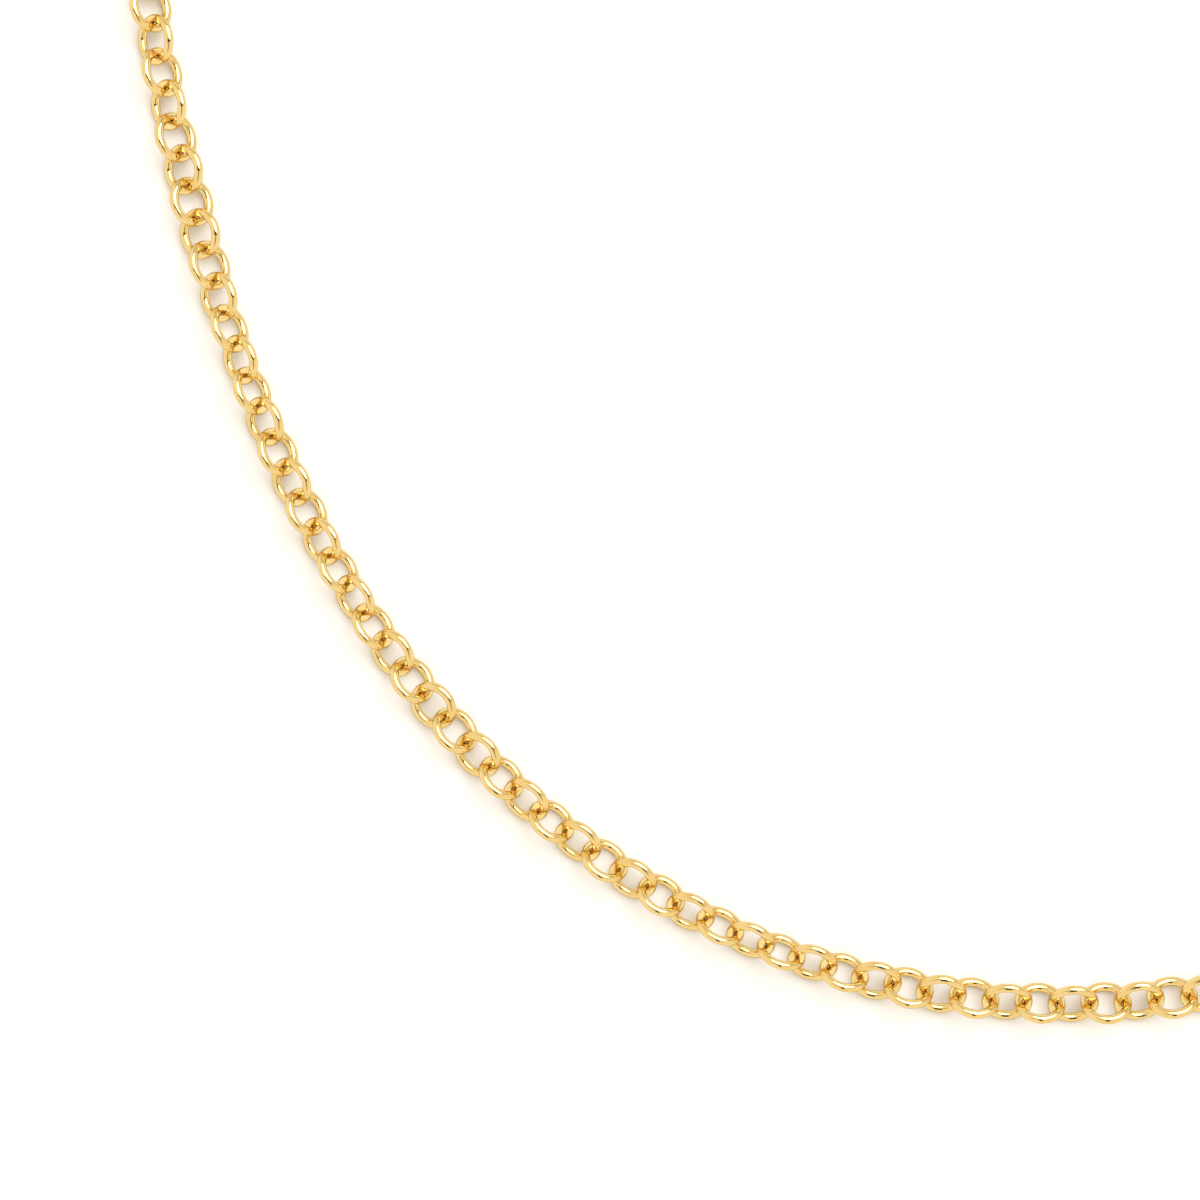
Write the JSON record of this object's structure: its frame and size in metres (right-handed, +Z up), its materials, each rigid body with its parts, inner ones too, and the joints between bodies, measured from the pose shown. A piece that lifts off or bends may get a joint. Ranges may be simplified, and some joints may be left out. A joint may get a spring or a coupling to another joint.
{
  "type": "chain necklace",
  "caption": "Rolo chain necklace of round-wire oval links with a lobster clasp and an end ring, laid open in a U.",
  "frame": {"origin": "on the table, under the middle of the necklace's bounding box", "axes": "+Z up from the table, +Y from the front of the U to its two ends, +X to the clasp's side"},
  "size_m": [0.1382, 0.174, 0.0028],
  "materials": {
    "gold": "polished, gold-plated",
    "spring_steel": "satin"
  },
  "bodies": {
    "clasp": {"clasp_body": "gold", "clasp_pivot_pin": "gold", "clasp_gate_spring": "spring_steel"},
    "clasp_gate": {"clasp_gate": "gold"},
    "clasp_jump_ring": {"clasp_jump_ring": "gold"},
    "clasp_side_chain_run_1": {"clasp_side_chain_run_1": "gold"},
    "clasp_side_chain_run_2": {"clasp_side_chain_run_2": "gold"},
    "clasp_side_chain_run_3": {"clasp_side_chain_run_3": "gold"},
    "clasp_side_chain_run_4": {"clasp_side_chain_run_4": "gold"},
    "clasp_side_chain_run_5": {"clasp_side_chain_run_5": "gold"},
    "link_081": {"link_081": "gold"},
    "link_082": {"link_082": "gold"},
    "link_083": {"link_083": "gold"},
    "link_084": {"link_084": "gold"},
    "link_085": {"link_085": "gold"},
    "link_086": {"link_086": "gold"},
    "link_087": {"link_087": "gold"},
    "link_088": {"link_088": "gold"},
    "link_089": {"link_089": "gold"},
    "link_090": {"link_090": "gold"},
    "link_091": {"link_091": "gold"},
    "link_092": {"link_092": "gold"},
    "link_093": {"link_093": "gold"},
    "link_094": {"link_094": "gold"},
    "link_095": {"link_095": "gold"},
    "link_096": {"link_096": "gold"},
    "link_097": {"link_097": "gold"},
    "link_098": {"link_098": "gold"},
    "link_099": {"link_099": "gold"},
    "link_100": {"link_100": "gold"},
    "link_101": {"link_101": "gold"},
    "link_102": {"link_102": "gold"},
    "link_103": {"link_103": "gold"},
    "link_104": {"link_104": "gold"},
    "link_105": {"link_105": "gold"},
    "link_106": {"link_106": "gold"},
    "link_107": {"link_107": "gold"},
    "link_108": {"link_108": "gold"},
    "link_109": {"link_109": "gold"},
    "link_110": {"link_110": "gold"},
    "link_111": {"link_111": "gold"},
    "link_112": {"link_112": "gold"},
    "link_113": {"link_113": "gold"},
    "link_114": {"link_114": "gold"},
    "link_115": {"link_115": "gold"},
    "link_116": {"link_116": "gold"},
    "link_117": {"link_117": "gold"},
    "link_118": {"link_118": "gold"},
    "link_119": {"link_119": "gold"},
    "link_120": {"link_120": "gold"},
    "link_121": {"link_121": "gold"},
    "link_122": {"link_122": "gold"},
    "link_123": {"link_123": "gold"},
    "link_124": {"link_124": "gold"},
    "link_125": {"link_125": "gold"},
    "link_126": {"link_126": "gold"},
    "ring_side_chain_run_1": {"ring_side_chain_run_1": "gold"},
    "ring_side_chain_run_2": {"ring_side_chain_run_2": "gold"},
    "ring_side_chain_run_3": {"ring_side_chain_run_3": "gold"},
    "end_ring": {"end_ring": "gold"}
  },
  "joints": [
    {"name": "clasp_gate_opens", "type": "hinge", "parent": "clasp", "child": "clasp_gate", "pos_m": [0.06412, 0.08069, 0.0013], "axis": [0, 0, -1], "range_deg": [0, 30], "stiffness_Nm_per_rad": 0.0004, "springref_deg": -28.65, "deforming": ["clasp_gate_spring"]},
    {"name": "clasp_jump_ring_lifts", "type": "hinge", "parent": "clasp", "child": "clasp_jump_ring", "pos_m": [0.06587, 0.07394, 0.00139], "axis": [-1, 0, 0], "range_deg": [-20, 10]},
    {"name": "clasp_side_chain_run_1_bends", "type": "hinge", "parent": "clasp_jump_ring", "child": "clasp_side_chain_run_1", "pos_m": [0.06587, 0.07123, 0.00122], "axis": [0, 0, 1], "range_deg": [-25, 25]},
    {"name": "clasp_side_chain_run_2_bends", "type": "hinge", "parent": "clasp_side_chain_run_1", "child": "clasp_side_chain_run_2", "pos_m": [0.06589, 0.03412, 0.00128], "axis": [0, 0, 1], "range_deg": [-25, 25]},
    {"name": "clasp_side_chain_run_3_bends", "type": "hinge", "parent": "clasp_side_chain_run_2", "child": "clasp_side_chain_run_3", "pos_m": [0.06548, -0.00298, 0.00137], "axis": [0, 0, 1], "range_deg": [-25, 25]},
    {"name": "clasp_side_chain_run_4_bends", "type": "hinge", "parent": "clasp_side_chain_run_3", "child": "clasp_side_chain_run_4", "pos_m": [0.05808, -0.03926, 0.00135], "axis": [0, 0, 1], "range_deg": [-25, 25]},
    {"name": "clasp_side_chain_run_5_bends", "type": "hinge", "parent": "clasp_side_chain_run_4", "child": "clasp_side_chain_run_5", "pos_m": [0.03868, -0.07045, 0.00126], "axis": [0, 0, 1], "range_deg": [-25, 25]},
    {"name": "link_081_bends", "type": "hinge", "parent": "clasp_side_chain_run_5", "child": "link_081", "pos_m": [0.00539, -0.08537, 0.00125], "axis": [0, 0, 1], "range_deg": [-30, 30]},
    {"name": "link_082_bends", "type": "hinge", "parent": "link_081", "child": "link_082", "pos_m": [0.00308, -0.08558, 0.00122], "axis": [0, 0, 1], "range_deg": [-30, 30]},
    {"name": "link_083_lifts", "type": "hinge", "parent": "link_082", "child": "link_083", "pos_m": [0.00077, -0.0857, 0.00125], "axis": [-0.0226, -0.9997, 0], "range_deg": [-30, 30]},
    {"name": "link_084_lifts", "type": "hinge", "parent": "link_083", "child": "link_084", "pos_m": [-0.00155, -0.08565, 0.00127], "axis": [0.0106, 0.9999, 0], "range_deg": [-30, 30]},
    {"name": "link_085_bends", "type": "hinge", "parent": "link_084", "child": "link_085", "pos_m": [-0.00387, -0.08563, 0.00131], "axis": [0, 0, -1], "range_deg": [-30, 30]},
    {"name": "link_086_bends", "type": "hinge", "parent": "link_085", "child": "link_086", "pos_m": [-0.00618, -0.08542, 0.00133], "axis": [0, 0, -1], "range_deg": [-30, 30]},
    {"name": "link_087_lifts", "type": "hinge", "parent": "link_086", "child": "link_087", "pos_m": [-0.00849, -0.08513, 0.00133], "axis": [0.1341, 0.991, 0], "range_deg": [-30, 30]},
    {"name": "link_088_lifts", "type": "hinge", "parent": "link_087", "child": "link_088", "pos_m": [-0.01078, -0.08482, 0.00133], "axis": [-0.2229, -0.9748, 0], "range_deg": [-30, 30]},
    {"name": "link_089_bends", "type": "hinge", "parent": "link_088", "child": "link_089", "pos_m": [-0.01305, -0.0843, 0.00133], "axis": [0, 0, -1], "range_deg": [-30, 30]},
    {"name": "link_090_bends", "type": "hinge", "parent": "link_089", "child": "link_090", "pos_m": [-0.01531, -0.0838, 0.00135], "axis": [0, 0, -1], "range_deg": [-30, 30]},
    {"name": "link_091_lifts", "type": "hinge", "parent": "link_090", "child": "link_091", "pos_m": [-0.01754, -0.08317, 0.00138], "axis": [-0.33, -0.944, 0], "range_deg": [-30, 30]},
    {"name": "link_092_lifts", "type": "hinge", "parent": "link_091", "child": "link_092", "pos_m": [-0.01973, -0.0824, 0.00143], "axis": [0.323, 0.9464, 0], "range_deg": [-30, 30]},
    {"name": "link_093_bends", "type": "hinge", "parent": "link_092", "child": "link_093", "pos_m": [-0.02193, -0.08165, 0.00146], "axis": [0, 0, 1], "range_deg": [-30, 30]},
    {"name": "link_094_bends", "type": "hinge", "parent": "link_093", "child": "link_094", "pos_m": [-0.02405, -0.08071, 0.00147], "axis": [0, 0, 1], "range_deg": [-30, 30]},
    {"name": "link_095_lifts", "type": "hinge", "parent": "link_094", "child": "link_095", "pos_m": [-0.02616, -0.07974, 0.00144], "axis": [0.4448, 0.8956, 0], "range_deg": [-30, 30]},
    {"name": "link_096_lifts", "type": "hinge", "parent": "link_095", "child": "link_096", "pos_m": [-0.02823, -0.0787, 0.00139], "axis": [-0.5173, -0.8558, 0], "range_deg": [-30, 30]},
    {"name": "link_097_bends", "type": "hinge", "parent": "link_096", "child": "link_097", "pos_m": [-0.03022, -0.0775, 0.00133], "axis": [0, 0, 1], "range_deg": [-30, 30]},
    {"name": "link_098_bends", "type": "hinge", "parent": "link_097", "child": "link_098", "pos_m": [-0.03222, -0.07633, 0.00129], "axis": [0, 0, 1], "range_deg": [-30, 30]},
    {"name": "link_099_lifts", "type": "hinge", "parent": "link_098", "child": "link_099", "pos_m": [-0.03413, -0.07501, 0.00129], "axis": [-0.6033, -0.7975, 0], "range_deg": [-30, 30]},
    {"name": "link_100_lifts", "type": "hinge", "parent": "link_099", "child": "link_100", "pos_m": [-0.03598, -0.07361, 0.00131], "axis": [0.6057, 0.7957, 0], "range_deg": [-30, 30]},
    {"name": "link_101_bends", "type": "hinge", "parent": "link_100", "child": "link_101", "pos_m": [-0.03782, -0.0722, 0.00134], "axis": [0, 0, -1], "range_deg": [-30, 30]},
    {"name": "link_102_bends", "type": "hinge", "parent": "link_101", "child": "link_102", "pos_m": [-0.03953, -0.07063, 0.00135], "axis": [0, 0, -1], "range_deg": [-30, 30]},
    {"name": "link_103_lifts", "type": "hinge", "parent": "link_102", "child": "link_103", "pos_m": [-0.04124, -0.06907, 0.00134], "axis": [0.7087, 0.7055, 0], "range_deg": [-30, 30]},
    {"name": "link_104_lifts", "type": "hinge", "parent": "link_103", "child": "link_104", "pos_m": [-0.04288, -0.06742, 0.00131], "axis": [-0.7552, -0.6555, 0], "range_deg": [-30, 30]},
    {"name": "link_105_bends", "type": "hinge", "parent": "link_104", "child": "link_105", "pos_m": [-0.0444, -0.06567, 0.00128], "axis": [0, 0, -1], "range_deg": [-30, 30]},
    {"name": "link_106_bends", "type": "hinge", "parent": "link_105", "child": "link_106", "pos_m": [-0.04594, -0.06394, 0.00126], "axis": [0, 0, -1], "range_deg": [-30, 30]},
    {"name": "link_107_lifts", "type": "hinge", "parent": "link_106", "child": "link_107", "pos_m": [-0.04734, -0.06209, 0.00128], "axis": [-0.8098, -0.5867, 0], "range_deg": [-30, 30]},
    {"name": "link_108_lifts", "type": "hinge", "parent": "link_107", "child": "link_108", "pos_m": [-0.0487, -0.06021, 0.00132], "axis": [0.8168, 0.5769, 0], "range_deg": [-30, 30]},
    {"name": "link_109_bends", "type": "hinge", "parent": "link_108", "child": "link_109", "pos_m": [-0.05004, -0.05831, 0.00136], "axis": [0, 0, 1], "range_deg": [-30, 30]},
    {"name": "link_110_bends", "type": "hinge", "parent": "link_109", "child": "link_110", "pos_m": [-0.05122, -0.05632, 0.00139], "axis": [0, 0, 1], "range_deg": [-30, 30]},
    {"name": "link_111_lifts", "type": "hinge", "parent": "link_110", "child": "link_111", "pos_m": [-0.05244, -0.05434, 0.0014], "axis": [0.8789, 0.477, 0], "range_deg": [-30, 30]},
    {"name": "link_112_lifts", "type": "hinge", "parent": "link_111", "child": "link_112", "pos_m": [-0.05354, -0.0523, 0.00138], "axis": [-0.8983, -0.4394, 0], "range_deg": [-30, 30]},
    {"name": "link_113_bends", "type": "hinge", "parent": "link_112", "child": "link_113", "pos_m": [-0.05456, -0.05022, 0.00136], "axis": [0, 0, 1], "range_deg": [-30, 30]},
    {"name": "link_114_bends", "type": "hinge", "parent": "link_113", "child": "link_114", "pos_m": [-0.05562, -0.04815, 0.00135], "axis": [0, 0, 1], "range_deg": [-30, 30]},
    {"name": "link_115_lifts", "type": "hinge", "parent": "link_114", "child": "link_115", "pos_m": [-0.05651, -0.04601, 0.00137], "axis": [-0.9204, -0.391, 0], "range_deg": [-30, 30]},
    {"name": "link_116_lifts", "type": "hinge", "parent": "link_115", "child": "link_116", "pos_m": [-0.05742, -0.04387, 0.0014], "axis": [0.9274, 0.374, 0], "range_deg": [-30, 30]},
    {"name": "link_117_bends", "type": "hinge", "parent": "link_116", "child": "link_117", "pos_m": [-0.05828, -0.04172, 0.00143], "axis": [0, 0, -1], "range_deg": [-30, 30]},
    {"name": "link_118_bends", "type": "hinge", "parent": "link_117", "child": "link_118", "pos_m": [-0.05902, -0.03952, 0.00145], "axis": [0, 0, -1], "range_deg": [-30, 30]},
    {"name": "link_119_lifts", "type": "hinge", "parent": "link_118", "child": "link_119", "pos_m": [-0.05983, -0.03735, 0.00143], "axis": [0.9562, 0.2926, 0], "range_deg": [-30, 30]},
    {"name": "link_120_lifts", "type": "hinge", "parent": "link_119", "child": "link_120", "pos_m": [-0.0605, -0.03513, 0.00139], "axis": [-0.9602, -0.2793, 0], "range_deg": [-30, 30]},
    {"name": "link_121_bends", "type": "hinge", "parent": "link_120", "child": "link_121", "pos_m": [-0.06115, -0.0329, 0.00132], "axis": [0, 0, -1], "range_deg": [-30, 30]},
    {"name": "link_122_bends", "type": "hinge", "parent": "link_121", "child": "link_122", "pos_m": [-0.06183, -0.03068, 0.00126], "axis": [0, 0, -1], "range_deg": [-30, 30]},
    {"name": "link_123_lifts", "type": "hinge", "parent": "link_122", "child": "link_123", "pos_m": [-0.06236, -0.02842, 0.00123], "axis": [-0.9672, -0.2541, 0], "range_deg": [-30, 30]},
    {"name": "link_124_lifts", "type": "hinge", "parent": "link_123", "child": "link_124", "pos_m": [-0.06295, -0.02618, 0.00124], "axis": [0.9742, 0.2258, 0], "range_deg": [-30, 30]},
    {"name": "link_125_bends", "type": "hinge", "parent": "link_124", "child": "link_125", "pos_m": [-0.06347, -0.02392, 0.00127], "axis": [0, 0, 1], "range_deg": [-30, 30]},
    {"name": "link_126_bends", "type": "hinge", "parent": "link_125", "child": "link_126", "pos_m": [-0.06391, -0.02164, 0.0013], "axis": [0, 0, 1], "range_deg": [-30, 30]},
    {"name": "ring_side_chain_run_1_lifts", "type": "hinge", "parent": "link_126", "child": "ring_side_chain_run_1", "pos_m": [-0.06442, -0.01938, 0.00132], "axis": [0.9876, 0.1571, 0], "range_deg": [-25, 25]},
    {"name": "ring_side_chain_run_2_lifts", "type": "hinge", "parent": "ring_side_chain_run_1", "child": "ring_side_chain_run_2", "pos_m": [-0.06697, 0.01063, 0.0013], "axis": [0.9999, -0.0156, 0], "range_deg": [-25, 25]},
    {"name": "ring_side_chain_run_3_lifts", "type": "hinge", "parent": "ring_side_chain_run_2", "child": "ring_side_chain_run_3", "pos_m": [-0.06691, 0.03846, 0.00139], "axis": [-0.9997, -0.0251, 0], "range_deg": [-25, 25]},
    {"name": "end_ring_lifts", "type": "hinge", "parent": "ring_side_chain_run_3", "child": "end_ring", "pos_m": [-0.06691, 0.06861, 0.00125], "axis": [0.9996, -0.0278, 0], "range_deg": [-15, 25]}
  ]
}
